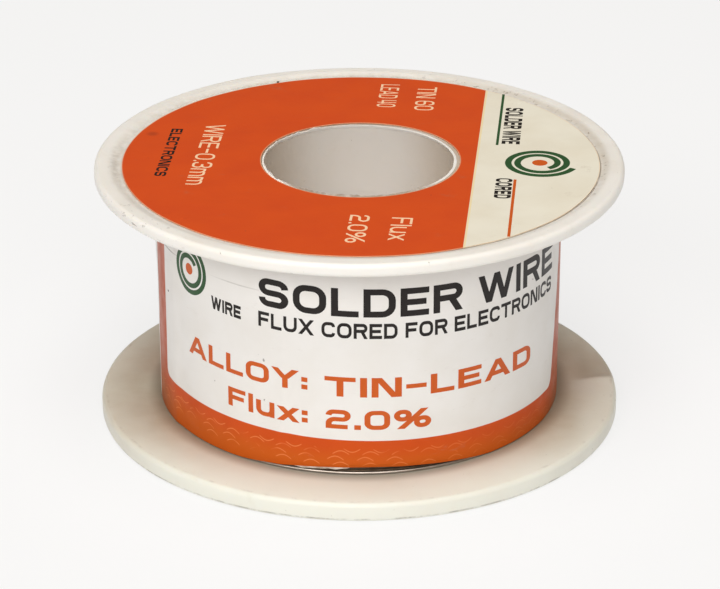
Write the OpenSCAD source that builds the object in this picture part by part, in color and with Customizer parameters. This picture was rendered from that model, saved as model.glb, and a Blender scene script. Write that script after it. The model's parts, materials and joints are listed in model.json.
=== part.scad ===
// Spool of solder wire: two moulded flanges on a hub tube, the wound wire and two paper labels.
// Millimetres, +Z along the spindle axis, origin at the middle of the face that the spool stands on.

/* [Flanges] */
// Outer diameter of both flanges
flange_d = 55; // [50:0.5:80]
// Height of the whole spool, from face to face
spool_h = 28; // [20:0.5:60]
// Thickness of the upper flange at its rim
upper_flange_t = 1.4; // [1.2:0.1:3]
// Thickness of the lower flange at its rim
lower_flange_t = 2.0; // [1.2:0.1:3]
// Rounding of the flanges' outer edges
edge_r = 0.5; // [0.2:0.05:0.55]
// Width of the raised rim round each outer face
rim_w = 2.0; // [1:0.1:3]
// Depth of the label recess inside that rim
recess_depth = 0.2; // [0.15:0.05:0.4]

/* [Hub tube] */
// Diameter of the bore that runs on a spindle
bore_d = 20; // [8:0.5:22]
// Wall of the tube between the flanges
hub_wall = 2.0; // [1.5:0.1:3]
// Width of the shoulder that each flange is pressed against
shoulder_w = 1.0; // [0.5:0.1:1.2]
// Diameter of the hole that anchors the wire's inner end
anchor_hole_d = 1.0; // [0.8:0.1:1.5]

/* [Wire] */
// Diameter of the solder wire
wire_d = 0.3; // [0.3:0.1:0.6]
// Diameter over the full winding
winding_d = 42; // [32:0.5:44]
// Part of a turn that the outermost, lowest turn covers, in degrees
last_turn_deg = 350; // [300:1:358]

/* [Wrap label] */
// Thickness of the paper of both labels
paper_t = 0.1; // [0.06:0.01:0.14]
// Bare height between the lower flange and the label
label_gap = 0.6; // [0.6:0.1:2]
// Clearance between the label and the upper flange
label_top_clearance = 0.1; // [0.05:0.05:0.5]
// Angle at which the label's outer end lies, counted from +X
label_end_deg = 185; // [0:1:359]
// Angle over which the label's outer end covers its inner end
label_overlap_deg = 22; // [5:1:40]

/* [Top label] */
// Clearance between the top label and the rim
label_rim_clearance = 0.7; // [0.2:0.1:1.5]
// Clearance between the top label's hole and the bore
label_hole_clearance = 0.35; // [0.1:0.05:0.8]

/* [Hidden] */

$fn = 96;
plastic_colour = "#efebe1";
wire_colour = "#a9a49c";
wrap_colour = "#e8e2da";
top_label_colour = "#d05527";

flange_r = flange_d / 2;
recess_r = flange_r - rim_w;
bore_r = bore_d / 2;
barrel_r = bore_r + hub_wall;
spigot_r = barrel_r - shoulder_w;

// The wire fills the height between the two flanges
winding_z0 = lower_flange_t;
winding_z1 = spool_h - upper_flange_t;
winding_h = winding_z1 - winding_z0;
winding_r = winding_d / 2;

// The outermost layer: whole turns side by side, on a thin sleeve that stands for their inner halves
turn_count = floor(winding_h / wire_d + 0.01);
turn_pitch = winding_h / turn_count;
layer_r0 = winding_r - wire_d;
valley_r = winding_r - wire_d / 3;
crest_h = wire_d / 3;

// The wire's inner end stands in its hole, clear of the hole's mouth
anchor_r = barrel_r + anchor_hole_d;
wire_end_inset = 0.1;

// Section of a flange with its outer face up: the plate, the raised rim and its rounded edge
module flange_section(t) {
    round_x = flange_r - edge_r;
    translate([spigot_r, 0])
        square([round_x - spigot_r, t - recess_depth]);
    translate([recess_r, 0])
        square([round_x - recess_r, t]);
    translate([recess_r, edge_r])
        square([flange_r - recess_r, t - 2 * edge_r]);
    for (z = [edge_r, t - edge_r])
        translate([round_x, z])
            circle(edge_r);
}

// A flange with its inner face at z = 0 and its outer face up
module flange(t) {
    rotate_extrude()
        flange_section(t);
}

module upper_flange() {
    color(plastic_colour)
        translate([0, 0, winding_z1])
            flange(upper_flange_t);
}

module lower_flange() {
    color(plastic_colour)
        difference() {
            translate([0, 0, lower_flange_t])
                mirror([0, 0, 1])
                    flange(lower_flange_t);
            translate([anchor_r, 0, -1])
                cylinder(h = lower_flange_t + 2, d = anchor_hole_d);
        }
}

// A barrel with a turned-down spigot at each end, pressed through the flanges
module hub_tube() {
    foot_z = recess_depth;
    head_z = spool_h - recess_depth;
    color(plastic_colour)
        rotate_extrude()
            polygon([
                [bore_r, foot_z],
                [spigot_r, foot_z],
                [spigot_r, winding_z0],
                [barrel_r, winding_z0],
                [barrel_r, winding_z1],
                [spigot_r, winding_z1],
                [spigot_r, head_z],
                [bore_r, head_z]
            ]);
}

// The inner layers of the winding, taken together
module solder_winding() {
    color(wire_colour)
        rotate_extrude()
            translate([barrel_r, winding_z0])
                square([layer_r0 - barrel_r, winding_h]);
}

// One turn's outline, from the valley under it to the top of its crest
function turn_outline(z) = [
    [valley_r, z - turn_pitch / 2],
    [winding_r, z - crest_h / 2],
    [winding_r, z + crest_h / 2]
];

module outer_turns() {
    turns = [for (i = [0 : turn_count - 1])
        each turn_outline(winding_z0 + (i + 0.5) * turn_pitch)];
    color(wire_colour)
        rotate_extrude()
            polygon(concat(
                [[layer_r0, winding_z0]],
                turns,
                [[valley_r, winding_z1], [layer_r0, winding_z1]]
            ));
}

// The wire's outer end: one more turn, in the corner between the winding and the lower flange
module last_turn() {
    color(wire_colour)
        rotate([0, 0, 90 + (360 - last_turn_deg) / 2])
            rotate_extrude(angle = last_turn_deg)
                translate([winding_r + wire_d / 2, winding_z0 + wire_d / 2])
                    circle(d = wire_d);
}

module wire_start() {
    z0 = recess_depth + wire_end_inset;
    color(wire_colour)
        translate([anchor_r, 0, z0])
            cylinder(h = winding_z0 - z0, d = wire_d);
}

// A flat ring of the given radii
module ring(r_out, r_in) {
    difference() {
        circle(r_out);
        circle(r_in);
    }
}

// One closed band of paper, two sheets thick where its outer end laps over its inner end
module wrap_label() {
    z0 = winding_z0 + label_gap;
    far = 2 * flange_r;
    color(wrap_colour)
        translate([0, 0, z0])
            linear_extrude(winding_z1 - label_top_clearance - z0) {
                ring(winding_r + paper_t, winding_r);
                rotate(label_end_deg)
                    intersection() {
                        ring(winding_r + 2 * paper_t, winding_r + paper_t / 2);
                        polygon([
                            [0, 0],
                            [far, 0],
                            [far * cos(label_overlap_deg), far * sin(label_overlap_deg)]
                        ]);
                    }
            }
}

module top_label() {
    color(top_label_colour)
        translate([0, 0, spool_h - recess_depth])
            rotate_extrude()
                translate([bore_r + label_hole_clearance, 0])
                    square([recess_r - label_rim_clearance - bore_r - label_hole_clearance, paper_t]);
}

upper_flange();
lower_flange();
hub_tube();
solder_winding();
outer_turns();
last_turn();
wire_start();
wrap_label();
top_label();
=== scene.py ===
import json
import math

import bmesh
import bpy
from mathutils import Matrix, Vector, geometry, noise


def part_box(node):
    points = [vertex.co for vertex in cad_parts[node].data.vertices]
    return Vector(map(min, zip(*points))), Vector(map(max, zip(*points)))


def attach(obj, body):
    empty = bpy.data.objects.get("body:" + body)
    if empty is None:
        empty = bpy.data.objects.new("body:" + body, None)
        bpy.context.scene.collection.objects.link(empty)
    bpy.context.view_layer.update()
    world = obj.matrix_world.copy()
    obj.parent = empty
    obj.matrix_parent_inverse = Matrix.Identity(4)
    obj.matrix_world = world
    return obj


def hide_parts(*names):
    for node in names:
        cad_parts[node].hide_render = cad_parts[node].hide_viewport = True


# Solder wire spool: two pale flanges on a hub tube, the wound wire, and two printed paper labels.
# Lengths are millimetres, except for the lights and the floor. A mesh is scaled to metres when it
# becomes a piece. The spool's axis is Z, and its front is towards -Y.

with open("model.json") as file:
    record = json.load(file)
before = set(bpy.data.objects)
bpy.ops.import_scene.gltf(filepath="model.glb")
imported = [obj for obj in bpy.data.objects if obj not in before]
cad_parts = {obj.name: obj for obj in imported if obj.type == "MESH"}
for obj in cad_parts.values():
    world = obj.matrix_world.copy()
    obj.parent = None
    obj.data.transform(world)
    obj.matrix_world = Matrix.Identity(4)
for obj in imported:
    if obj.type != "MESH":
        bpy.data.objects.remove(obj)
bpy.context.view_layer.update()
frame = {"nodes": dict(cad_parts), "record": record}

MM = 0.001
TAU = 2 * math.pi


# -------- sizes from the frame

def box_mm(node):
    low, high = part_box(node)
    return low / MM, high / MM


upper_low, upper_high = box_mm("upper_flange")
lower_low, lower_high = box_mm("lower_flange")
hub_low, hub_high = box_mm("hub_tube")
_, wrap_high = box_mm("wrap_label")
_, disc_high = box_mm("top_label")
last_low, last_high = box_mm("last_turn")
start_low, start_high = box_mm("wire_start")

# Thickness of the paper, and of the ink on it
PAPER = 0.08
INK = 0.014
# Sizes of the CAD model that no box gives
SPIGOT_STEP = 1.0
RIM_WIDTH = 2.0
EDGE_R = 0.5
ANCHOR_HOLE_R = 0.5
DISC_HOLE_GAP = 0.35
PAPER_GAP = 0.05

flange_r = upper_high.x
spool_h = upper_high.z
upper_under = upper_low.z
lower_top = lower_high.z
barrel_r = hub_high.x
bore = next(m for m in frame["record"]["mounts"] if m["name"] == "spindle_bore")
bore_r = bore["dims"]["r_mm"]
spigot_r = barrel_r - SPIGOT_STEP
recess_r = flange_r - RIM_WIDTH
recess_depth = spool_h - hub_high.z
wire_d = last_high.z - last_low.z
winding_r = last_high.x - wire_d
wrap_r = wrap_high.y
disc_r = disc_high.x
print_r = wrap_r - PAPER_GAP
disc_hole_r = bore_r + DISC_HOLE_GAP
anchor_r = (start_low.x + start_high.x) / 2


# -------- camera, light and floor

CAMERA_LENS = 158.44
CAMERA_ELEVATION = math.radians(24.34)
CAMERA_DISTANCE = 335.4
CAMERA_TARGET = Vector((0.065, 0, 12.49))


def show(thing):
    bpy.context.scene.collection.objects.link(thing)


def add_camera():
    data = bpy.data.cameras.new("camera")
    data.lens = CAMERA_LENS
    data.sensor_width = 36
    data.clip_start = 0.01
    camera = bpy.data.objects.new("camera", data)
    back = Vector((0, -math.cos(CAMERA_ELEVATION), math.sin(CAMERA_ELEVATION)))
    camera.location = (CAMERA_TARGET + CAMERA_DISTANCE * back) * MM
    camera.rotation_euler = (math.pi / 2 - CAMERA_ELEVATION, 0, 0)
    show(camera)
    bpy.context.scene.camera = camera


def add_area_light(name, azimuth, elevation, distance, size, power, colour):
    """A soft box aimed at the spool, sized in metres. Azimuth 0 is in front, and + is to the right."""
    data = bpy.data.lights.new(name, "AREA")
    data.shape = "RECTANGLE"
    data.size, data.size_y = size
    data.energy = power
    data.color = colour
    light = bpy.data.objects.new(name, data)
    a, e = math.radians(azimuth), math.radians(elevation)
    back = Vector((math.sin(a) * math.cos(e), -math.cos(a) * math.cos(e), math.sin(e)))
    light.location = back * distance + Vector((0, 0, spool_h / 2 * MM))
    light.rotation_euler = back.to_track_quat("Z", "Y").to_euler()
    show(light)


def add_world(colour, strength):
    world = bpy.data.worlds.new("studio")
    world.use_nodes = True
    background = world.node_tree.nodes["Background"]
    background.inputs["Color"].default_value = (*colour, 1)
    background.inputs["Strength"].default_value = strength
    bpy.context.scene.world = world


def add_floor(half=2.0, grey=0.25, glow=0.68):
    """A pale floor. It glows a little, so that it lights the spool from below as white paper does."""
    mesh = bpy.data.meshes.new("floor")
    corners = [(-half, -half, 0), (half, -half, 0), (half, half, 0), (-half, half, 0)]
    mesh.from_pydata(corners, [], [(0, 1, 2, 3)])
    floor = bpy.data.objects.new("floor", mesh)
    material = bpy.data.materials.new("pale_floor")
    material.use_nodes = True
    shader = material.node_tree.nodes["Principled BSDF"]
    shader.inputs["Base Color"].default_value = (grey, grey, grey, 1)
    shader.inputs["Roughness"].default_value = 0.9
    shader.inputs["Specular IOR Level"].default_value = 0.1
    shader.inputs["Emission Color"].default_value = (1, 1, 1, 1)
    shader.inputs["Emission Strength"].default_value = glow
    mesh.materials.append(material)
    show(floor)


# -------- material building

def linear(red, green, blue):
    """A linear colour from 8-bit sRGB values."""
    def channel(value):
        v = value / 255
        return v / 12.92 if v <= 0.04045 else ((v + 0.055) / 1.055) ** 2.4
    return (channel(red), channel(green), channel(blue), 1)


class Nodes:
    """A short way to write a material's node tree. Sockets and plain numbers can be mixed as inputs."""

    def __init__(self, name):
        self.material = bpy.data.materials.new(name)
        self.material.use_nodes = True
        self.tree = self.material.node_tree
        self.shader = self.tree.nodes["Principled BSDF"]
        self.place = self.new("ShaderNodeTexCoord").outputs["Object"]

    def new(self, kind, **settings):
        node = self.tree.nodes.new(kind)
        for key, value in settings.items():
            setattr(node, key, value)
        return node

    def set(self, socket, value):
        if isinstance(value, bpy.types.NodeSocket):
            self.tree.links.new(value, socket)
        else:
            socket.default_value = value

    def math(self, operation, *values):
        node = self.new("ShaderNodeMath", operation=operation)
        for socket, value in zip(node.inputs, values):
            self.set(socket, value)
        return node.outputs[0]

    def plus(self, a, b):
        return self.math("ADD", a, b)

    def minus(self, a, b):
        return self.math("SUBTRACT", a, b)

    def product(self, first, *others):
        for other in others:
            first = self.math("MULTIPLY", first, other)
        return first

    def split(self, vector):
        node = self.new("ShaderNodeSeparateXYZ")
        self.set(node.inputs[0], vector)
        return node.outputs

    def join(self, x, y, z):
        node = self.new("ShaderNodeCombineXYZ")
        for socket, value in zip(node.inputs, (x, y, z)):
            self.set(socket, value)
        return node.outputs[0]

    def noise(self, per_mm, detail, stretch=(1, 1, 1), roughness=0.5, place=None):
        """Noise from 0 to 1, with that many features to the millimetre."""
        mapping = self.new("ShaderNodeMapping")
        self.set(mapping.inputs["Vector"], place or self.place)
        unit = per_mm if place else per_mm / MM
        mapping.inputs["Scale"].default_value = [unit * s for s in stretch]
        node = self.new("ShaderNodeTexNoise")
        self.set(node.inputs["Vector"], mapping.outputs[0])
        node.inputs["Scale"].default_value = 1.0
        node.inputs["Detail"].default_value = detail
        node.inputs["Roughness"].default_value = roughness
        return node.outputs["Fac"]

    def ramp(self, value, low, high, out_low=0.0, out_high=1.0):
        """A smooth step from out_low, where value is low, to out_high, where it is high."""
        node = self.new("ShaderNodeMapRange", interpolation_type="SMOOTHSTEP")
        for socket, number in zip(node.inputs, (value, low, high, out_low, out_high)):
            self.set(socket, number)
        return node.outputs[0]

    def mix(self, factor, colour_a, colour_b):
        """A blend of two colours. The numbered sockets are the node's colour ones."""
        node = self.new("ShaderNodeMix", data_type="RGBA")
        self.set(node.inputs["Factor"], factor)
        self.set(node.inputs[6], colour_a)
        self.set(node.inputs[7], colour_b)
        return node.outputs[2]

    def tint(self, colour, *layers):
        """Lays layers on a colour. Each is (mask, strength where the mask is 1, sRGB colour)."""
        for mask, strength, over in layers:
            colour = self.mix(self.product(mask, strength), colour, linear(*over))
        return colour

    def patches(self, per_mm, detail, low, high, **settings):
        """A mask of patches: 0 where noise is under low, and 1 where it is over high."""
        return self.ramp(self.noise(per_mm, detail, **settings), low, high)

    def uneven(self, per_mm, low, high, detail=3.0):
        """A value that drifts between low and high over the surface."""
        return self.ramp(self.noise(per_mm, detail), 0.3, 0.7, low, high)

    def axis_mm(self, axis):
        return self.math("DIVIDE", self.split(self.place)[axis], MM)

    def length(self, x, y):
        return self.math("SQRT", self.plus(self.product(x, x), self.product(y, y)))

    def radius_mm(self, centre=(0, 0)):
        """The distance from an upright line, which is the spool's axis if no centre is given."""
        return self.length(self.minus(self.axis_mm(0), centre[0]), self.minus(self.axis_mm(1), centre[1]))

    def band(self, value, middle, width):
        """1 where value is at middle, falling smoothly to 0 at width on either side."""
        away = self.math("ABSOLUTE", self.minus(value, middle))
        return self.ramp(away, 0.0, width, 1.0, 0.0)

    def bump(self, *heights):
        """Chains bump maps; each is (height from 0 to 1, depth in mm)."""
        normal = None
        for height, depth in heights:
            node = self.new("ShaderNodeBump")
            node.inputs["Strength"].default_value = 1.0
            node.inputs["Distance"].default_value = depth * MM
            self.set(node.inputs["Height"], height)
            if normal:
                self.set(node.inputs["Normal"], normal)
            normal = node.outputs[0]
        self.set(self.shader.inputs["Normal"], normal)

    def finish(self, colour, roughness, **fixed):
        self.set(self.shader.inputs["Base Color"], colour)
        self.set(self.shader.inputs["Roughness"], roughness)
        for name, value in fixed.items():
            self.shader.inputs[name.replace("_", " ")].default_value = value
        return self.material


UPPER_PLASTIC = linear(240, 237, 231)
LOWER_PLASTIC = linear(235, 235, 224)
HUB_PLASTIC_SHADED = linear(221, 215, 208)
# The hub's plastic is darker than the flanges': painted shade for the bore.
FLASH_PLASTIC = linear(250, 246, 240)
ORANGE = linear(209, 78, 4)
TOP_ORANGE = linear(213, 80, 26)
WHITE_PAPER = linear(238, 235, 231)
CREAM_PAPER = linear(235, 230, 214)
STAIN = (206, 192, 172)


def plastic(name, dirt_and_shade, base):
    """Moulded ivory plastic, handled. Its second argument gives the layers that lie on top of it: grime and
    wear, and painted shade and light.
    """
    n = Nodes(name)
    brown_darkening = n.patches(0.09, 4.0, 0.42, 0.75)
    smudge = n.patches(0.33, 6.0, 0.55, 0.8, roughness=0.65)
    specks = n.patches(1.6, 2.0, 0.74, 0.8)
    colour = n.tint(base, (brown_darkening, 0.15, STAIN), (smudge, 0.2, STAIN), *dirt_and_shade(n),
                    (specks, 0.5, (110, 94, 80)))
    scratches = n.patches(0.5, 3.0, 0.6, 0.72, stretch=(0.12, 2.5, 1))
    n.bump((n.noise(0.8, 3.0), 0.012), (scratches, 0.006), (n.noise(6.0, 2.0), 0.002))
    return n.finish(colour, n.uneven(0.4, 0.34, 0.5, 4.0), IOR=1.49, Subsurface_Weight=0.1,
                    Subsurface_Radius=(1.0, 0.75, 0.5), Subsurface_Scale=0.0008)


def upper_grime_and_shade(n):
    """Grey grime beside the label, most of it at the left, rim scratches, painted shade on the recess's
    slope, and a thin line along the label's edge that is partly painted shadow and partly grime.
    """
    radius, x, y = n.radius_mm(), n.axis_mm(0), n.axis_mm(1)
    from_label = n.radius_mm(TOP_CENTRE)
    mottle = n.ramp(n.noise(0.9, 5.0, roughness=0.65), 0.3, 0.7, 0.3, 1.0)
    # Painted shade down the recess's slope, weaker at the front, flecked like grime.
    groove = n.product(n.ramp(radius, recess_r + 0.9, recess_r - 0.5),
                       n.ramp(y, -24.0, -10.0, 0.3, 1.0), mottle)
    left = n.product(n.band(radius, recess_r - 0.1, 0.9), n.ramp(x, -22.5, -24.5), n.band(y, -2.0, 10.0),
                     n.patches(1.2, 3.0, 0.35, 0.7))
    # Partly painted shadow of the label's edge and partly grime, stronger to the right.
    line = n.product(n.band(from_label, disc_r + 0.02, 0.13), n.ramp(n.noise(0.4, 4.0), 0.3, 0.5, 0.35, 1.0),
                     n.ramp(x, -4.0, 8.0, 0.25, 1.0))
    # Painted shade on the rim's inner slope at the back right.
    slope = n.product(n.band(radius, recess_r, 0.75), n.ramp(x, 6.0, 18.0), n.ramp(y, -12.0, 4.0))
    crumbs = n.product(n.band(radius, recess_r - 0.2, 0.7), n.ramp(x, 4.0, 12.0), n.ramp(y, -18.0, -8.0),
                       n.patches(1.7, 2.0, 0.62, 0.68))
    scratch = n.product(n.ramp(radius, recess_r + 0.5, recess_r + 0.9), n.ramp(x, -14.0, -17.0),
                        n.band(y, -15.0, 9.0),
                        n.patches(0.8, 4.0, 0.59, 0.65, stretch=(1.0, 1.0, 3.0), roughness=0.7))
    return ((groove, 0.42, (186, 174, 156)), (left, 0.3, (120, 104, 86)),
            (line, 0.75, (112, 92, 72)), (slope, 0.42, (180, 168, 148)),
            (crumbs, 0.6, (120, 100, 78)), (scratch, 0.6, (110, 98, 88)))


def lower_grime_and_shade(n):
    """Yellow-brown staining mixed with painted shade, least at the front and most near the winding, painted
    light and shade at the crease, a painted contact shadow, and a worn line of grime round the foot.
    """
    radius, height, x, y = n.radius_mm(), n.axis_mm(2), n.axis_mm(0), n.axis_mm(1)
    # Painted light: lighter in front of the crease, where the flange faces the light.
    lit_crease_front = n.product(n.ramp(x, 21.5, 24.5), n.ramp(y, CREASE_Y, CREASE_Y - 0.5))
    # Partly painted shade: darker near the winding and away from the front, where the upper flange shades
    # the flange; its noise is staining.
    brown_darkening = n.product(n.ramp(radius, flange_r + 2.0, winding_r + 1.0, 0.4, 1.0),
                      n.ramp(y, -23.0, -9.0, 0.1, 1.0), n.ramp(n.noise(0.3, 5.0), 0.25, 0.75, 0.75, 1.0),
                      n.minus(1.0, n.product(lit_crease_front, 0.4)))
    # Painted contact shadow where the flange meets the winding.
    contact_shadow = n.ramp(radius, winding_r + 2.0, winding_r + 0.2)
    # Painted shade behind the crease, where the flange tilts away from the light.
    behind = n.product(n.ramp(x, 22.5, 24.5), n.ramp(y, CREASE_Y - 0.1, CREASE_Y + 0.4),
                       n.ramp(y, 13.0, 2.0))
    wall = n.ramp(radius, flange_r - 0.3, flange_r - 0.1)
    broken = n.patches(0.35, 5.0, 0.42, 0.62, roughness=0.7)
    foot = n.product(n.band(height, 0.32, 0.16), wall, broken)
    edge = n.product(n.band(radius, flange_r - 0.55, 0.25), n.ramp(height, 1.2, 1.6),
                     n.patches(0.5, 5.0, 0.5, 0.68, roughness=0.7))
    return ((brown_darkening, 0.76, (182, 162, 134)), (contact_shadow, 0.55, (116, 90, 62)),
            (behind, 0.36, (140, 120, 92)), (foot, 0.6, (110, 98, 88)),
            (edge, 0.25, (140, 126, 112)))


def hub_painted_shade(n):
    """Painted shade: the bore's wall is darker and yellower at its sides, and the tube's end is darker at
    the left, as shadow beside the flash.
    """
    x = n.axis_mm(0)
    # Painted shade on the bore's sides.
    sides = n.ramp(n.math("ABSOLUTE", x), 4.0, 10.0)
    # Painted shadow on the tube's end beside the flash, strongest at the left.
    end = n.product(n.ramp(n.radius_mm(), bore_r + 0.02, bore_r + 0.1), n.ramp(x, 7.0, 1.0, 0.35, 1.0))
    return ((sides, 0.4, (190, 162, 124)), (end, 0.7, (142, 122, 98)))


def flash_darker_front(n):
    """The flash is darker at the front, where it hardly stands up."""
    front = n.product(n.ramp(n.axis_mm(1), -5.5, -8.0), n.ramp(n.noise(1.1, 3.0), 0.3, 0.6, 0.7, 1.0))
    return ((front, 0.9, (150, 132, 112)),)


def solder(name, base_metal, tarnished, polish):
    """Drawn tin-lead wire: soft grey metal with fine marks and dull patches."""
    n = Nodes(name)
    patches = n.patches(0.6, 4.0, 0.35, 0.7)
    colour = n.tint(base_metal, (patches, 0.6, tarnished))
    n.bump((n.noise(9.0, 2.0, stretch=(1, 1, 2)), 0.004))
    return n.finish(colour, n.uneven(1.1, 0.6 - polish, 0.75 - polish), Metallic=1.0)


def ink(name, colour, worn):
    """Printed ink: nearly even colour, slightly mottled, on glossy paper."""
    n = Nodes(name)
    mottle = n.patches(1.2, 5.0, 0.35, 0.8, roughness=0.7)
    mixed = n.tint(colour, (mottle, 0.4, worn))
    return n.finish(mixed, n.uneven(0.5, 0.34, 0.48), Specular_IOR_Level=0.25)


def print_axes(n):
    """The two print coordinates, in mm, that a label's mesh carries in its UV map."""
    return n.split(n.new("ShaderNodeUVMap", uv_map="print").outputs[0])[:2]


def inside_panel(n, u, v):
    """1 inside the white panels of the wrap label. Each is a window with round lower corners."""
    middle, corner, soft = (PANEL_LEFT + PANEL_RIGHT) / 2, 0.9, 0.04
    nearest = n.math("WRAP", n.minus(u, middle), PRINT_REPEAT / 2, -PRINT_REPEAT / 2)
    lean = n.product(n.minus(v, PANEL_BOTTOM), PANEL_LEAN)
    right = n.math("GREATER_THAN", nearest, 0.0)
    across = n.minus(n.math("ABSOLUTE", nearest), n.product(lean, right))
    up = n.math("ABSOLUTE", n.minus(v, (PANEL_TOP + PANEL_BOTTOM) / 2))
    dx = n.math("MAXIMUM", n.minus(across, (PANEL_RIGHT - PANEL_LEFT) / 2 - corner), 0.0)
    dy = n.math("MAXIMUM", n.minus(up, (PANEL_TOP - PANEL_BOTTOM) / 2 - corner), 0.0)
    return n.ramp(n.length(dx, dy), corner - soft, corner + soft, 1.0, 0.0)


# The rows of the pattern: height, where its waves start, and 1 for their crests or -1 for their hollows
SCALE_ROWS = ((4.85, 0.0, -1), (4.35, -0.8, 1), (3.72, 0.35, 1), (3.1, -0.8, 1))
SCALE_PERIOD, SCALE_HEIGHT, SCALE_LINE = 3.0, 0.3, 0.095


def scale_pattern(n, u, v):
    """Faint rows of short wavy lines in the varnish over the orange band, worn off to the right."""
    total = 0.0
    for row, (height, shift, side) in enumerate(SCALE_ROWS):
        wave = n.math("SINE", n.plus(n.product(u, TAU / SCALE_PERIOD), shift))
        line = n.plus(n.product(wave, SCALE_HEIGHT), height)
        ridge = n.band(n.minus(v, line), 0.0, SCALE_LINE)
        short = n.ramp(n.product(wave, side), -0.35, 0.05)
        worn = n.ramp(n.noise(0.3, 2.0, place=n.join(u, v, row * 7.3)), 0.34, 0.52)
        total = n.math("MAXIMUM", total, n.product(ridge, short, worn))
    return n.product(total, n.ramp(u, -4.0, 16.0, 1.0, 0.35))


def print_edge(n, value, start):
    """A sharp printed edge: 0 below start and 1 above it."""
    soft = 0.03
    return n.ramp(value, start - soft, start + soft)


def wrap_orange(n, u, v, mottle, waves):
    """The orange of the wrap label's frame: yellower near the foot, and painted darker at both sides of the
    front, as shade where the label turns away.
    """
    foot = n.ramp(v, 5.4, 3.0)
    # Painted shade at both sides of the front, where the label turns away from the light.
    dull = n.band(n.math("ABSOLUTE", u), 28.5, 6.0)
    return n.tint(ORANGE, (mottle, 0.5, (200, 72, 8)), (foot, 0.6, (204, 98, 10)),
                  (waves, 0.55, (246, 156, 92)), (dull, 0.35, (112, 88, 62)))


def fold_line(n, u):
    """A faint fold under the upper flange, in two stretches at the left."""
    stretches = n.math("MAXIMUM", n.band(u, -24.5, 2.6), n.product(n.band(u, -13.0, 4.6), 0.45))
    return n.product(stretches, n.band(n.axis_mm(2), FOLD_HEIGHT, 0.11))


def wrap_paper():
    n = Nodes("wrap_paper")
    u, v = print_axes(n)
    before_right = n.minus(1.0, print_edge(n, u, FRAME_RIGHT))
    printed = n.product(print_edge(n, u, FRAME_LEFT), before_right)
    frame_ink = n.product(printed, n.minus(1.0, inside_panel(n, u, v)))
    mottle = n.patches(0.25, 5.0, 0.3, 0.75)
    waves = scale_pattern(n, u, v)
    # The fold's line is painted dark as shade in the crease, and bumped as well.
    fold = fold_line(n, u)
    # Painted shadow under the lifted end of the paper.
    end = n.ramp(u, LABEL_START + 0.7, LABEL_START + 0.4)
    specks = n.patches(1.1, 2.0, 0.76, 0.8)
    scuffs = n.patches(0.35, 5.0, 0.6, 0.78, stretch=(1, 1, 2.5), roughness=0.7)
    white = n.tint(WHITE_PAPER, (mottle, 0.4, (229, 224, 216)))
    colour = n.mix(frame_ink, white, wrap_orange(n, u, v, mottle, waves))
    colour = n.tint(colour, (fold, 0.7, (96, 84, 74)), (end, 0.7, (112, 76, 58)),
                    (specks, 0.6, (84, 70, 60)), (scuffs, 0.16, (170, 150, 132)))
    n.bump((n.noise(0.12, 4.0), 0.05), (n.noise(0.9, 4.0), 0.008), (waves, 0.004), (fold, 0.03))
    return n.finish(colour, n.uneven(0.5, 0.34, 0.5), Specular_IOR_Level=0.25)


def torn_paper():
    n = Nodes("torn_paper")
    grime = n.patches(0.8, 4.0, 0.35, 0.65)
    colour = n.mix(grime, linear(232, 222, 212), linear(176, 158, 142))
    n.bump((n.noise(5.0, 3.0), 0.01))
    return n.finish(colour, 0.8, Specular_IOR_Level=0.2)


def top_paper():
    n = Nodes("top_paper")
    _, v = print_axes(n)
    mottle = n.patches(0.18, 5.0, 0.3, 0.75)
    orange = n.tint(TOP_ORANGE, (mottle, 0.55, (204, 72, 28)))
    cream = n.tint(CREAM_PAPER, (mottle, 0.5, (224, 215, 194)))
    colour = n.mix(print_edge(n, v, TOP_BOUNDARY), orange, cream)
    seam = n.band(v, TOP_BOUNDARY + 0.12, 0.16)
    rim = n.ramp(n.radius_mm(TOP_CENTRE), disc_r - 0.16, disc_r - 0.08)
    hole = n.ramp(n.radius_mm(TOP_HOLE_CENTRE), disc_hole_r + 0.12, disc_hole_r + 0.04)
    cut = n.math("MAXIMUM", rim, hole)
    smudge = n.patches(0.28, 6.0, 0.62, 0.78, roughness=0.7)
    spot = n.ramp(n.radius_mm(TOP_SPOT), 0.9, 0.2)
    specks = n.patches(1.3, 2.0, 0.77, 0.81)
    colour = n.tint(colour, (seam, 0.6, (244, 214, 130)), (cut, 0.5, (240, 205, 165)),
                    (smudge, 0.3, (150, 118, 92)), (spot, 0.4, (128, 52, 30)),
                    (specks, 0.6, (84, 66, 54)))
    n.bump((n.noise(0.1, 4.0), 0.05), (n.noise(1.0, 4.0), 0.006))
    return n.finish(colour, n.uneven(0.4, 0.38, 0.52), Specular_IOR_Level=0.2)


# -------- mesh building

def ripple(x, y, z, size):
    """Smooth noise from -1 to 1, with features of about that size."""
    return noise.noise(Vector((x, y, z)) / size)


def smooth(value):
    value = min(max(value, 0.0), 1.0)
    return value * value * (3 - 2 * value)


def polar(radius, angle):
    return radius * math.cos(angle), radius * math.sin(angle)


def on_circle(radius, angle, z):
    return Vector((*polar(radius, angle), z))


def arc(r, z, radius, start, end, steps):
    """Points (radius, z) on an arc about (r, z), with its angles in degrees."""
    angles = [math.radians(start + (end - start) * i / steps) for i in range(steps + 1)]
    return [(r + radius * math.cos(a), z + radius * math.sin(a)) for a in angles]


def straight(start, end, steps):
    """Points from start on the way to end, without end."""
    return [tuple(a + (b - a) * i / steps for a, b in zip(start, end)) for i in range(steps)]


def join_rings(bm, here, there):
    """A closed band of faces."""
    for j in range(len(here)):
        k = (j + 1) % len(here)
        bm.faces.new((here[j], there[j], there[k], here[k]))


def close_tube(bm, rings):
    """Bands of faces between the rings, and a face at each end."""
    for here, there in zip(rings, rings[1:]):
        join_rings(bm, here, there)
    bm.faces.new(rings[0])
    bm.faces.new(rings[-1][::-1])


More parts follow.
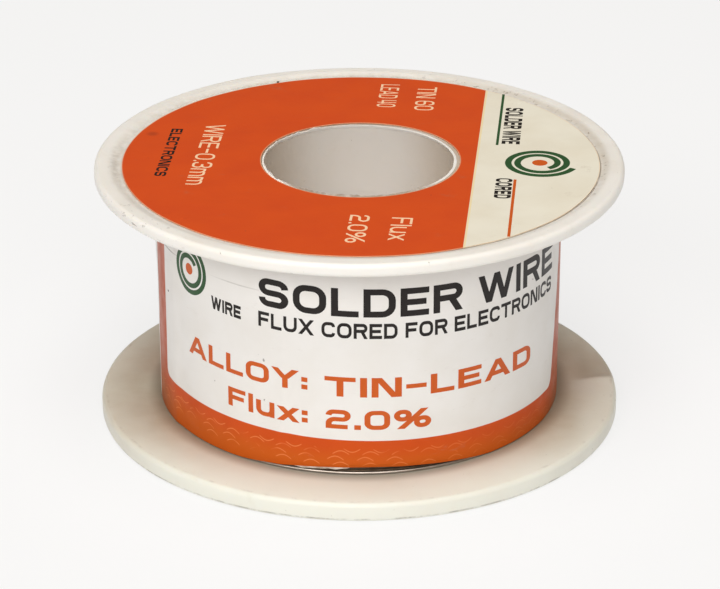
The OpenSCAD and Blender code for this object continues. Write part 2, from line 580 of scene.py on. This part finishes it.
def lathe(profile, segments, shape):
    """A ring whose section is a closed loop of number pairs.

    shape turns an angle and such a pair into a radius and a height.
    """
    bm = bmesh.new()
    rings = []
    for i in range(segments):
        angle = TAU * i / segments
        places = [shape(angle, a, b) for a, b in profile]
        rings.append([bm.verts.new(on_circle(radius, angle, z)) for radius, z in places])
    for here, there in zip(rings, [*rings[1:], rings[0]]):
        join_rings(bm, here, there)
    return bm


def tube(path, radius, sides):
    """A closed round tube along a list of points."""
    bm = bmesh.new()
    rings = []
    for i, point in enumerate(path):
        along = (path[min(i + 1, len(path) - 1)] - path[max(i - 1, 0)]).normalized()
        side = along.cross(Vector((0, 0, 1)))
        side = side.normalized() if side.length > 0.1 else Vector((1, 0, 0))
        up = side.cross(along).normalized()
        ring = []
        for k in range(sides):
            a = TAU * k / sides
            ring.append(bm.verts.new(point + radius * (side * math.cos(a) + up * math.sin(a))))
        rings.append(ring)
    close_tube(bm, rings)
    return bm


def sheet(columns, rows, closed, place):
    """A sheet of paper over a grid; a closed one joins its last column to its first.

    place gives a point and its print coordinates for a column, a row and a lift off the paper's face.
    """
    bm = bmesh.new()
    uv = bm.loops.layers.uv.new("print")
    front, back = 0.0, -PAPER
    grid = {}
    for side in (front, back):
        for i in range(columns if closed else columns + 1):
            for j in range(rows + 1):
                point, mark = place(i, j, side)
                grid[side, i, j] = bm.verts.new(point), mark

    def face(*corners):
        made = bm.faces.new([grid[corner][0] for corner in corners])
        for loop, corner in zip(made.loops, corners):
            loop[uv].uv = grid[corner][1]

    def border(a, b):
        face((front, *a), (front, *b), (back, *b), (back, *a))

    for i in range(columns):
        k = (i + 1) % columns if closed else i + 1
        for j in range(rows):
            face((front, i, j), (front, k, j), (front, k, j + 1), (front, i, j + 1))
            face((back, i, j + 1), (back, k, j + 1), (back, k, j), (back, i, j))
        border((k, 0), (i, 0))
        border((i, rows), (k, rows))
    if not closed:
        for j in range(rows):
            border((0, j), (0, j + 1))
            border((columns, j + 1), (columns, j))
    return bm


def add_piece(name, bm, material, slot, *nodes, crease=35):
    """Makes a piece of a mesh in mm: it rides on the spool, and it may stand for CAD nodes.

    Edges that turn by more than crease degrees stay sharp.
    """
    bmesh.ops.recalc_face_normals(bm, faces=bm.faces)
    mesh = bpy.data.meshes.new(name)
    bm.to_mesh(mesh)
    bm.free()
    mesh.transform(Matrix.Scale(MM, 4))
    mesh.shade_smooth()
    mesh.set_sharp_from_angle(angle=math.radians(crease))
    mesh.materials.append(material)
    piece = bpy.data.objects.new(name, mesh)
    show(piece)
    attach(piece, "root")
    if nodes:
        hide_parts(*nodes)


# -------- flanges

# The rim slopes softly down to the label recess, on either side of the recess's nominal radius
SLOPE_OUTER, SLOPE_INNER = 0.6, 0.5
SLOPE_STEPS = 10
FLANGE_SEGMENTS = 320
HOLE_SEGMENTS = 32
UNEVEN = 0.03
# The raised crease at the right of the lower flange: its angle from +X, its y near the edge, how
# high it stands, how fast it falls off behind and in front, and where it starts
CREASE_ANGLE = 2.5
CREASE_Y = 1.1
CREASE_RISE = 0.34
CREASE_BEHIND, CREASE_FRONT = 0.7, 3.2
CREASE_START, CREASE_FADE = 23.6, 2.4


def flange_profile(thickness):
    """The section of a flange with its inner face at 0 and its outer face, rim and recess up."""
    round_r = flange_r - EDGE_R
    floor = thickness - recess_depth
    points = straight((spigot_r, 0), (round_r, 0), 30)
    points += arc(round_r, EDGE_R, EDGE_R, -90, 0, 8)
    points += arc(round_r, thickness - EDGE_R, EDGE_R, 0, 90, 8)
    points += straight((round_r - 0.1, thickness), (recess_r + SLOPE_OUTER, thickness), 4)
    for i in range(SLOPE_STEPS + 1):
        share = i / SLOPE_STEPS
        radius = recess_r + SLOPE_OUTER - (SLOPE_OUTER + SLOPE_INNER) * share
        points.append((radius, thickness - recess_depth * smooth(share)))
    points += straight((recess_r - SLOPE_INNER - 0.2, floor), (spigot_r, floor), 16)
    points.append((spigot_r, floor))
    return points


def cut_round_hole(bm, x, y, radius, low, high):
    """Cuts a round hole, upright at (x, y), out of a closed mesh."""
    cutter = bmesh.new()
    middle = Matrix.Translation((x, y, (low + high) / 2))
    bmesh.ops.create_cone(cutter, cap_ends=True, segments=HOLE_SEGMENTS, radius1=radius,
                          radius2=radius, depth=high - low, matrix=middle)
    objects = []
    for name, source in (("whole", bm), ("cutter", cutter)):
        mesh = bpy.data.meshes.new(name)
        bmesh.ops.recalc_face_normals(source, faces=source.faces)
        source.to_mesh(mesh)
        source.free()
        objects.append(bpy.data.objects.new(name, mesh))
        show(objects[-1])
    whole, tool = objects
    modifier = whole.modifiers.new("hole", "BOOLEAN")
    modifier.operation = "DIFFERENCE"
    modifier.solver = "EXACT"
    modifier.object = tool
    graph = bpy.context.evaluated_depsgraph_get()
    result = bmesh.new()
    result.from_mesh(bpy.data.meshes.new_from_object(whole.evaluated_get(graph)))
    for thing in objects:
        bpy.data.objects.remove(thing)
    return result


def upper_shape(angle, radius, z):
    """The upper flange is a little out of true."""
    x, y = polar(radius, angle)
    outer = smooth((radius - recess_r) / 1.5)
    return radius + UNEVEN * outer * ripple(x, y, 3.0, 6.0), z + UNEVEN * outer * ripple(x, y, 9.0, 9.0)


def lower_shape(angle, radius, z):
    """The lower flange's upper side is a little uneven, with a raised crease near its right edge."""
    x, y = polar(radius, angle)
    outer = smooth((radius - winding_r - 2) / 4)
    away = radius * math.radians((math.degrees(angle) - CREASE_ANGLE + 180) % 360 - 180)
    slope = away / (CREASE_BEHIND if away > 0 else CREASE_FRONT)
    crease = math.exp(-abs(slope)) * smooth((radius - CREASE_START) / CREASE_FADE)
    rise = 0.04 * outer * ripple(x, y, 1.0, 11.0) + CREASE_RISE * crease
    return radius + UNEVEN * outer * ripple(x, y, 5.0, 6.0) - 0.1 * crease, z + rise * z / lower_top


def build_flanges():
    upper = plastic("upper_flange_plastic", upper_grime_and_shade, UPPER_PLASTIC)
    lower = plastic("lower_flange_plastic", lower_grime_and_shade, LOWER_PLASTIC)
    top = [(r, upper_under + z) for r, z in flange_profile(upper_high.z - upper_under)]
    bm = lathe(top, FLANGE_SEGMENTS, upper_shape)
    add_piece("upper_flange_moulding", bm, upper, "spool_plastic", "upper_flange")
    base = [(r, lower_top - z) for r, z in flange_profile(lower_top - lower_low.z)]
    bm = lathe(base, FLANGE_SEGMENTS, lower_shape)
    bm = cut_round_hole(bm, anchor_r, 0, ANCHOR_HOLE_R, -1, lower_top + 1)
    add_piece("lower_flange_moulding", bm, lower, "spool_plastic", "lower_flange")


# -------- hub tube

HUB_SEGMENTS = 240
FLASH_SEGMENTS = 720
# How the bore's mouths are rounded, and how deep and how much they are uneven
MOUTH_ROUND = 0.12
MOUTH_DEPTH = 1.2
MOUTH_UNEVEN = 0.06
# The flash narrows the mouth by a hair, most at the right, and stands up most at the left
FLASH_R = 9.86
FLASH_SHIFT = 0.04
FLASH_HEIGHT = 0.28
FLASH_ANGLE = math.radians(195)
# Across runs from the flash's root at 0 to its free edge at 1. Levels over 0 are shares of its
# height, and those under 0 are millimetres below the hub's end
FLASH_SECTION = [(0, -0.25), (0, 0.02), (0.55, 0.1), (0.8, 1), (1, 0.9), (1, 0.1), (0.35, -0.3)]


def hub_profile():
    """Bore wall with rounded mouths, spigots at both ends and the barrel's shoulders."""
    low, high, r = hub_low.z + MOUTH_ROUND, hub_high.z - MOUTH_ROUND, bore_r + MOUTH_ROUND
    points = straight((bore_r, low), (bore_r, high), 24)
    points += arc(r, high, MOUTH_ROUND, 180, 90, 7)
    points += [(spigot_r, hub_high.z), (spigot_r, upper_under), (barrel_r, upper_under)]
    points += [(barrel_r, lower_top), (spigot_r, lower_top), (spigot_r, hub_low.z)]
    points += arc(r, low, MOUTH_ROUND, 270, 180, 7)
    return points


def hub_shape(angle, radius, z):
    """The bore's wall is slightly uneven, and its mouths more so."""
    if radius > bore_r + 0.5:
        return radius, z
    x, y = polar(radius, angle)
    near_mouth = smooth(1 - min(abs(z - hub_high.z), abs(z - hub_low.z)) / MOUTH_DEPTH)
    return radius + MOUTH_UNEVEN * near_mouth * ripple(x, y, 2.0, 2.2), z


def flash_height(angle):
    """How far the torn flash stands up round the bore's upper mouth."""
    side = 0.5 + 0.5 * math.cos(angle - FLASH_ANGLE)
    x, y = polar(10, angle)
    ragged = 0.5 + 0.6 * ripple(x, y, 0, 1.3) + 0.45 * ripple(x, y, 5, 0.45)
    return 0.01 + FLASH_HEIGHT * smooth(side * 1.3 - 0.1) * max(ragged, 0.02)


def flash_shape(angle, across, level):
    x, y = polar(10, angle)
    outside = bore_r + 0.1
    inside = FLASH_R - FLASH_SHIFT * math.cos(angle) + 0.06 * ripple(x, y, 8, 1.4)
    rise = level * flash_height(angle) if level > 0 else level
    return outside + (inside - outside) * across, hub_high.z + rise


def build_hub():
    hub = plastic("hub_plastic_painted_shade", hub_painted_shade, HUB_PLASTIC_SHADED)
    bm = lathe(hub_profile(), HUB_SEGMENTS, hub_shape)
    add_piece("hub_moulding", bm, hub, "spool_plastic", "hub_tube")
    flash = plastic("flash_plastic", flash_darker_front, FLASH_PLASTIC)
    add_piece("bore_flash", lathe(FLASH_SECTION, FLASH_SEGMENTS, flash_shape), flash, "spool_plastic")


# -------- wire

# Where the wrap label's lower edge has lifted
GAP_MIDDLE = 0.8
GAP_HALF_WIDTH = 14.0
COIL_STEPS = 90
LAST_TURN_STEPS = 360
# In degrees from +X
LAST_TURN_START, LAST_TURN_SWEEP = 95, 350
START_STEPS = 12
turn_r = winding_r - wire_d / 2
turn_z = lower_top + wire_d / 2


def gap_openness(s):
    """How far the wrap label's lower edge has lifted: 0 at the sides to 1 at the front."""
    return math.cos(min(abs(s - GAP_MIDDLE) / GAP_HALF_WIDTH, 1.0) * math.pi / 2) ** 1.3


def arc_length(angle):
    """The distance round the winding from the front, positive to the right, for an angle from +X."""
    away = (angle + math.pi / 2 + math.pi) % TAU - math.pi
    return away * wrap_r


def coil_path():
    """The outermost layer: one helix, its turns side by side."""
    height = upper_under - lower_top
    turns = int(height / wire_d + 0.01)
    pitch = (height - wire_d) / (turns - 1)
    return [on_circle(turn_r, TAU * i / COIL_STEPS, turn_z + pitch * i / COIL_STEPS)
            for i in range(COIL_STEPS * (turns - 1) + 1)]


def last_turn_path():
    """The last turn lies in the corner, a little looser where the label has lifted."""
    path = []
    for i in range(LAST_TURN_STEPS + 1):
        angle = math.radians(LAST_TURN_START + LAST_TURN_SWEEP * i / LAST_TURN_STEPS)
        out = 0.06 + 0.14 * gap_openness(arc_length(angle))
        radius = turn_r + out + 0.02 * ripple(i, 0, 0, 25)
        path.append(on_circle(radius, angle, turn_z + 0.05 + 0.03 * ripple(i, 3, 0, 30)))
    return path


def start_path():
    """The wire's inner end goes down through the anchor hole, slightly bent."""
    low, high = start_low.z, start_high.z
    shares = [i / START_STEPS for i in range(START_STEPS + 1)]
    return [Vector((anchor_r + 0.14 * t ** 2, 0.1 * t ** 3, high + (low - high) * t)) for t in shares]


def build_wire():
    # The coil's metal is painted dark as shade for the gap under the lifted label; it also goes on the CAD
    # winding.
    metal = solder("solder_metal_painted_shade", linear(100, 86, 72), (56, 45, 35), 0.0)
    bright = solder("bare_turn_metal", linear(204, 194, 184), (168, 156, 144), 0.3)
    winding = frame["nodes"]["solder_winding"].data
    winding.materials.clear()
    winding.materials.append(metal)
    add_piece("outer_turns_coil", tube(coil_path(), wire_d / 2, 6), metal, "solder_wire", "outer_turns")
    add_piece("last_turn_wire", tube(last_turn_path(), wire_d / 2 - 0.02, 16), bright, "solder_wire",
              "last_turn")
    add_piece("wire_start_end", tube(start_path(), wire_d / 2, 16), bright, "solder_wire", "wire_start")


# -------- wrap label

# Positions round the label are distances from the front, positive to the right
LABEL_START = -31.9
OVERLAP = 8.0
LABEL_LENGTH = TAU * print_r + OVERLAP
PRINT_SLOPE = -0.028
PRINT_REPEAT = math.pi * print_r
PANEL_LEFT, PANEL_RIGHT = -26.1, 26.2
PANEL_BOTTOM, PANEL_TOP = 5.87, 24.9
PANEL_LEAN = 0.2
FRAME_LEFT, FRAME_RIGHT = -30.2, LABEL_START + LABEL_LENGTH - 11.0
PRINT_TURN = 0.98
BOTTOM_CLEARANCE = 0.14
GAP_HEIGHT = 0.72
# How far the paper stands off the winding, or curls to it, and over what length
LAP_RISE, LAP_LENGTH = 0.11, 2.0
LOOSE_RISE, LOOSE_LENGTH = 0.27, 2.6
CURL_RISE, CURL_HEIGHT = 0.13, 0.4
PAPER_CREASE_AT = -8.0
FOLD_HEIGHT = 21.37
WRAP_COLUMNS, WRAP_ROWS = 640, 64


def label_bottom(s):
    """Height of the label's cut lower edge."""
    return lower_top + BOTTOM_CLEARANCE + GAP_HEIGHT * gap_openness(s) + 0.03 * ripple(s, 0, 0, 3.0)


def print_shift(s):
    """The print climbs to the left and falls to the right, because the label went on askew."""
    return PRINT_SLOPE * print_r * math.asin(PRINT_TURN * math.sin(s / print_r))


def wrap_radius(s, z):
    """The paper's outer face: over its own inner end at first, then straight on the winding."""
    lap = LAP_RISE * smooth((LABEL_START + OVERLAP + LAP_LENGTH - s) / LAP_LENGTH)
    away = s - PAPER_CREASE_AT - 0.25 * ripple(z, 0, 4, 5.0) - 0.02 * (z - 12)
    crease = 0.055 * math.exp(-(away / 0.6) ** 2) - 0.045 * math.exp(-((away - 1.1) / 0.8) ** 2)
    loose_end = LOOSE_RISE * smooth((LABEL_START + LOOSE_LENGTH - s) / LOOSE_LENGTH)
    loose_end *= smooth((z - 14.0) / 9.0)
    lift = CURL_RISE * gap_openness(s) * smooth((5.0 - z) / 2.6)
    curl = CURL_RISE * gap_openness(s) * smooth((label_bottom(s) + CURL_HEIGHT - z) / CURL_HEIGHT)
    waves = 0.035 * ripple(s, z, 0, 7.0) + 0.012 * ripple(s, z, 9, 2.2)
    return wrap_r + lap + crease + loose_end + lift - curl + waves


def wrap_point(s, z, lift):
    angle = s / wrap_r
    radius = wrap_radius(s, z) + lift
    return Vector((radius * math.sin(angle), -radius * math.cos(angle), z))


def print_point(u, v, lift):
    """A point of the wrap label's print, where u runs round the spool and v up it."""
    return wrap_point(u, v + print_shift(u), lift)


def wrap_label_place(i, j, lift):
    s = LABEL_START + LABEL_LENGTH * i / WRAP_COLUMNS
    low = label_bottom(s)
    z = low + (wrap_high.z - low) * (j / WRAP_ROWS) ** 1.3
    return wrap_point(s, z, lift), (s, z - print_shift(s))


def build_wrap_label():
    bm = sheet(WRAP_COLUMNS, WRAP_ROWS, False, wrap_label_place)
    add_piece("wrap_label_paper", bm, wrap_paper(), "wrap_paper", "wrap_label", crease=50)


def build_torn_edge():
    """The white core of the paper shows where a sliver of the label's printed edge has torn off."""
    columns, start, end = 36, -6.7, -1.0
    outer, inner = -0.012, -PAPER
    least, more = 0.06, 0.17
    bm = bmesh.new()
    rings = []
    for i in range(columns + 1):
        share = i / columns
        s = start + (end - start) * share
        tapered = least + more * smooth(share * 6) * smooth((1 - share) * 12)
        top = label_bottom(s) + 0.03
        low = top - tapered * (1 + 0.35 * ripple(s, 2, 0, 0.7))
        corners = ((top, outer), (low, outer), (low, inner), (top, inner))
        rings.append([bm.verts.new(wrap_point(s, z, lift)) for z, lift in corners])
    close_tube(bm, rings)
    add_piece("label_torn_edge", bm, torn_paper(), "wrap_paper")


# -------- top label

TOP_BOUNDARY = 12.05
TOP_TURN = math.radians(-5)
TOP_CENTRE = Vector((0.15, -0.42))
TOP_HOLE_CENTRE = Vector((0.12, 0.05))
TOP_SPOT = (-21.9, 7.2)
TOP_LIFT = 0.02
TOP_LOOSE_R, TOP_LOOSE_WIDTH = 21, 4
TOP_COLUMNS, TOP_ROWS = 300, 26
TOP_RIGHT = Vector((math.sin(TOP_TURN), -math.cos(TOP_TURN)))
TOP_UP = Vector(polar(1, TOP_TURN))


def disc_height(x, y):
    """The top label's upper face: nearly flat, and a little loose at its edge."""
    loose = smooth((math.hypot(x, y) - TOP_LOOSE_R) / TOP_LOOSE_WIDTH)
    return disc_high.z + TOP_LIFT + UNEVEN * loose * ripple(x, y, 0, 4.0) + 0.012 * ripple(x, y, 4, 6.0)


def disc_point(u, v, lift):
    """A point of the top label's print, where u runs along its lines of text and v up them."""
    x, y = TOP_RIGHT * u + TOP_UP * v
    return Vector((x, y, disc_height(x, y) + lift))


def top_label_place(i, j, lift):
    angle = TAU * i / TOP_COLUMNS
    outward = Vector(polar(1, angle))
    inner = TOP_HOLE_CENTRE + outward * (disc_hole_r + 0.04 * ripple(i, 0, 0, 5.0))
    outer = TOP_CENTRE + outward * (disc_r - PAPER_GAP + 0.03 * ripple(i, 5, 0, 9.0))
    spot = inner.lerp(outer, j / TOP_ROWS)
    return (*spot, disc_height(*spot) + lift), (spot.dot(TOP_RIGHT), spot.dot(TOP_UP))


def build_top_label():
    bm = sheet(TOP_COLUMNS, TOP_ROWS, True, top_label_place)
    add_piece("top_label_paper", bm, top_paper(), "top_paper", "top_label", crease=50)


# -------- print

# Each letter is its width in cap heights, and its strokes on a grid of 8 by 8. "08 00 80" joins the
# points (0, 8), (0, 0) and (8, 0), and an r rounds that corner. A stroke that starts with a slash
# slopes and has level ends, one that starts with an underscore ends flush with its last points, and
# one that starts with a dot is a square dot.
GLYPHS = {
    "A": (0.9, "/00 48", "/80 48", "22 62"),
    "C": (0.74, "_86 88r 08r 00r 80r 82"),
    "D": (0.74, "00 08 88r 80r 00"),
    "E": (0.66, "88 08 00 80", "04 74"),
    "F": (0.64, "88 08 00", "04 74"),
    "I": (0.0, "00 08"),
    "L": (0.6, "08 00 80"),
    "N": (0.74, "00 08", "80 88", "/18 70"),
    "O": (0.8, "00r 08r 88r 80r 00r"),
    "R": (0.74, "00 08 88r 84r 04", "/54 80"),
    "S": (0.74, "_02 00r 80r 84r 04r 08r 88r 86"),
    "T": (0.76, "08 88", "40 48"),
    "U": (0.76, "08 00r 80r 88"),
    "W": (1.2, "/08 20", "/20 48", "/48 60", "/60 88"),
    "X": (0.86, "/00 88", "/08 80"),
    "Y": (0.84, "/08 44", "/88 44", "40 44"),
    "l": (0.0, "00 08"),
    "m": (0.95, "00 06 46r 40", "46 86r 80"),
    "u": (0.6, "06 00r 80r 86", "80 86"),
    "x": (0.66, "/00 86", "/06 80"),
    "0": (0.72, "00r 08r 88r 80r 00r"),
    "2": (0.7, "_06 08r 88r 84r 04r 00 80"),
    "3": (0.66, "_06 08r 88r 84r 34", "_34 84r 80r 00r 02"),
    "4": (0.72, "08 02 82", "60 68"),
    "6": (0.7, "_86 88r 08r 00r 80r 84r 04"),
    "%": (1.2, "04r 08r 38r 34r 04r", "50r 54r 84r 80r 50r", "/10 78"),
    ":": (0.0, ".01", ".05"),
    ".": (0.0, ".00"),
    "-": (0.45, "04 84"),
}
# In cap heights
LETTER_GAP = 0.14
WORD_GAP = 0.42
CORNER_STEPS = 6
DOT_SIZE = 1.1
# Points closer together and triangles smaller than these are dropped from the letters
NEAR = 0.01
SLIVER = 1e-5
TOLERANCE = 1e-6


def sideways(direction):
    return Vector((-direction.y, direction.x))


def round_corners(points, rounded, radius):
    """Replaces each corner that is marked as rounded with a quarter circle."""
    closed = points[0] == points[-1]
    count = len(points) - 1 if closed else len(points)
    path = []
    for i in range(count):
        if not rounded[i]:
            path.append(points[i])
            continue
        before, after = points[(i - 1) % count], points[(i + 1) % count]
        reach = [(other - points[i]).length * (0.5 if rounded[j % count] else 1.0)
                 for j, other in ((i - 1, before), (i + 1, after))]
        r = min(radius, *reach)
        to_before, to_after = (before - points[i]).normalized(), (after - points[i]).normalized()
        centre = points[i] + (to_before + to_after) * r
        for k in range(CORNER_STEPS + 1):
            a = math.pi / 2 * k / CORNER_STEPS
            path.append(centre - to_after * r * math.cos(a) - to_before * r * math.sin(a))
    apart = path[:1] + [p for before, p in zip(path, path[1:]) if (p - before).length > NEAR]
    if closed and (apart[-1] - apart[0]).length < NEAR:
        apart.pop()
    return apart, closed


def thicken(path, half, closed):
    """Four-sided pieces that together cover the stroke along a path."""
    count = len(path)
    sides = []
    for i, point in enumerate(path):
        ahead = path[(i + 1) % count] if closed or i < count - 1 else None
        behind = path[i - 1] if closed or i > 0 else None
        into = (point - behind if behind else ahead - point).normalized()
        out_of = (ahead - point if ahead else point - behind).normalized()
        n1, n2 = sideways(into), sideways(out_of)
        mitre = (n1 + n2) * (half / (1 + n1.dot(n2)))
        sides.append((point + mitre, point - mitre))
    following = sides[1:] + (sides[:1] if closed else [])
    return [(a, b, d, c) for (a, b), (c, d) in zip(sides, following)]


def glyph_pieces(letter, weight, radius):
    """One letter's strokes as four-sided pieces, and its width."""
    width, *strokes = GLYPHS[letter]
    half = weight / 2
    pieces = []
    for stroke in strokes:
        spots = stroke.strip("/._").split()
        grid = [Vector((int(spot[0]), int(spot[1]))) / 8 for spot in spots]
        inset = [Vector((half + g.x * width, half + g.y * (1 - weight))) for g in grid]
        if stroke[0] == ".":
            corners = [Vector(corner) for corner in ((-1, -1), (1, -1), (1, 1), (-1, 1))]
            pieces.append([inset[0] + corner * half * DOT_SIZE for corner in corners])
        elif stroke[0] == "/":
            low, high = Vector((inset[0].x, grid[0].y)), Vector((inset[1].x, grid[1].y))
            level = Vector((half * (high - low).length / abs((high - low).y), 0))
            pieces.append((low - level, low + level, high + level, high - level))
        else:
            path, closed = round_corners(inset, [spot.endswith("r") for spot in spots], radius)
            if not closed and stroke[0] != "_":
                path[0] = path[0] + (path[0] - path[1]).normalized() * half
                path[-1] = path[-1] + (path[-1] - path[-2]).normalized() * half
            pieces += thicken(path, half, closed)
    return pieces, width + weight


def is_inside(point, corners):
    following = [*corners[1:], corners[0]]
    return all((b - a).cross(point - a) >= -TOLERANCE for a, b in zip(corners, following))


def merge(pieces):
    """One flat mesh of triangles that covers all the given, possibly overlapping, pieces."""
    points, faces, outlines = [], [], []
    for piece in pieces:
        turn = sum(a.cross(b) for a, b in zip(piece, [*piece[1:], piece[0]]))
        corners = piece if turn > 0 else piece[::-1]
        faces.append(list(range(len(points), len(points) + len(corners))))
        points += corners
        outlines.append(corners)
    places, _, triangles, *_ = geometry.delaunay_2d_cdt(points, [], faces, 0, SLIVER)
    bm = bmesh.new()
    verts = [bm.verts.new((p.x, p.y, 0)) for p in places]
    for corners in triangles:
        a, b, c = [places[i] for i in corners]
        middle = (a + b + c) / 3
        if abs((b - a).cross(c - a)) > SLIVER and any(is_inside(middle, o) for o in outlines):
            bm.faces.new([verts[i] for i in corners])
    bmesh.ops.delete(bm, geom=[v for v in bm.verts if not v.link_faces], context="VERTS")
    return bm


def lettering(text, left, right, bottom, top, weight, radius=0.3):
    """Flat letters that fill the given rectangle, with strokes of that weight in cap heights."""
    pieces, pen = [], 0.0
    for letter in text:
        if letter == " ":
            pen += WORD_GAP
            continue
        strokes, width = glyph_pieces(letter, weight, radius)
        shift = Vector((pen, 0))
        pieces += [[p + shift for p in stroke] for stroke in strokes]
        pen += width + LETTER_GAP
    bm = merge(pieces)
    xs, ys = [v.co.x for v in bm.verts], [v.co.y for v in bm.verts]
    for vert in bm.verts:
        vert.co.x = left + (right - left) * (vert.co.x - min(xs)) / (max(xs) - min(xs))
        vert.co.y = bottom + (top - bottom) * (vert.co.y - min(ys)) / (max(ys) - min(ys))
    return bm


def words(rows, shift=0.0):
    """Each row is a text, its left, right, bottom and top, and its letters' weight and radius."""
    return [lettering(text, left + shift, right + shift, *rest) for text, left, right, *rest in rows]


def polygon(points):
    bm = bmesh.new()
    bm.faces.new([bm.verts.new((x, y, 0)) for x, y in points])
    return bm


def stripe(start, end, width):
    a, b = Vector(start), Vector(end)
    side = sideways(b - a).normalized() * width / 2
    return polygon([a - side, b - side, b + side, a + side])


def disc(x, y, radius, steps=40):
    places = [on_circle(radius, TAU * i / steps, 0) for i in range(steps)]
    return polygon([(x + place.x, y + place.y) for place in places])


def print_shapes(label, ink_name, shapes, place, step=0.35):
    """Lays flat shapes on a label as one thin, closed layer of ink, cut up so that it can curve."""
    out = bmesh.new()
    for flat in shapes:
        for axis, normal in enumerate((Vector((1, 0, 0)), Vector((0, 1, 0)))):
            values = [v.co[axis] for v in flat.verts]
            cut = math.floor(min(values) / step) * step + step
            while cut < max(values):
                everything = [*flat.verts, *flat.edges, *flat.faces]
                bmesh.ops.bisect_plane(flat, geom=everything, plane_co=normal * cut, plane_no=normal)
                cut += step
        bmesh.ops.triangulate(flat, faces=flat.faces)
        upper = {v: out.verts.new(place(v.co.x, v.co.y, INK)) for v in flat.verts}
        under = {v: out.verts.new(place(v.co.x, v.co.y, -INK / 2)) for v in flat.verts}
        for face in flat.faces:
            out.faces.new([upper[v] for v in face.verts])
            out.faces.new([under[v] for v in reversed(face.verts)])
        for edge in flat.edges:
            if len(edge.link_faces) == 1:
                a, b = edge.verts
                out.faces.new((upper[a], upper[b], under[b], under[a]))
        flat.free()
    add_piece(f"{label}_print_{ink_name}", out, INKS[ink_name], f"{label}_paper")


def print_label(label, place, **inks):
    for name, shapes in inks.items():
        print_shapes(label, name, shapes, place)


def coil_mark(x, y, size):
    """A plain sign for coiled wire: a spiral round a dot. Returns the spiral and the dot."""
    turns, steps, stroke = 2.1, 110, 0.17 * size
    path = []
    for i in range(steps + 1):
        share = i / steps
        angle = TAU * turns * share + 0.6
        radius = size * (0.42 + 0.5 * share)
        path.append(Vector((x + radius * math.cos(angle), y + radius * math.sin(angle))))
    return merge(thicken(path, stroke / 2, False)), disc(x, y, size * 0.2)


def build_wrap_print():
    """The same print on both halves of the label, and one stray speck of ink."""
    black, orange, green = [], [], []
    for shift in (0.0, PRINT_REPEAT):
        black += words((
            ("SOLDER WIRE", -10.4, 25.7, 19.55, 22.6, 0.21),
            ("FLUX CORED FOR ELECTRONICS", -10.5, 25.5, 17.2, 18.85, 0.21),
            ("WIRE", -16.6, -12.6, 17.3, 18.7, 0.24),
        ), shift)
        orange += words((
            ("ALLOY:", -20.5, -5.25, 10.95, 13.05, 0.22, 0.24),
            ("TIN-LEAD", -3.5, 20.7, 10.75, 12.9, 0.22, 0.24),
            ("Flux:", -14.4, -5.25, 7.25, 9.35, 0.22, 0.24),
            ("2.0%", -3.4, 7.4, 7.1, 9.25, 0.22, 0.24),
        ), shift)
        spiral, dot = coil_mark(shift - 20.2, 20.3, 3.0)
        green.append(spiral)
        orange.append(dot)
    black.append(disc(-25.06, 15.85, 0.12))
    print_label("wrap", print_point, black=black, orange=orange, green=green)


def build_top_print():
    """Words on both colours of the disc, the coil sign between two lines, and one stray speck."""
    cream = words((
        ("TIN 60", -21.7, -14.7, 4.6, 6.7, 0.12),
        ("LEAD 40", -22.2, -15.3, 0.5, 2.55, 0.12),
        ("Flux", 15.2, 20.9, 4.6, 6.7, 0.12),
        ("2.0%", 14.9, 21.8, 0.4, 2.4, 0.13),
        ("WIRE-0.3mm", -8.4, 8.4, -17.1, -15.0, 0.12),
    ))
    black = words((
        ("ELECTRONICS", -6.9, 6.4, -20.6, -19.4, 0.2),
        ("SOLDER WIRE", -16.2, -5.6, 14.5, 16.4, 0.21),
        ("CORED", 4.0, 9.3, 14.4, 16.1, 0.22),
    ))
    black.append(disc(-22.0, -10.95, 0.15))
    spiral, dot = coil_mark(-0.6, 18.7, 4.0)
    green = [spiral, stripe((-20.2, 14.05), (-5.2, 14.05), 0.28)]
    orange = [dot, stripe((4.2, 16.35), (19.0, 16.35), 0.3)]
    print_label("top", disc_point, cream=cream, black=black, green=green, orange=orange)


# -------- the scene

add_camera()
add_world(colour=(1.0, 0.9, 0.8), strength=0.12)
add_area_light("key", azimuth=-12, elevation=34, distance=1.2, size=(1.3, 0.4), power=9.1,
               colour=(1.0, 0.99, 0.98))
add_area_light("overhead", azimuth=0, elevation=78, distance=1.0, size=(0.8, 0.8), power=7.2,
               colour=(1.0, 0.97, 0.92))
add_floor()
bpy.context.scene.view_settings.view_transform = "Standard"

INKS = {
    "black": ink("black_ink", linear(32, 27, 25), (52, 44, 40)),
    "orange": ink("orange_ink", linear(206, 92, 28), (190, 76, 22)),
    "green": ink("green_ink", linear(44, 84, 46), (38, 66, 38)),
    "cream": ink("cream_ink", linear(250, 214, 176), (238, 190, 150)),
}

build_flanges()
build_hub()
build_wire()
build_wrap_label()
build_torn_edge()
build_top_label()
build_wrap_print()
build_top_print()
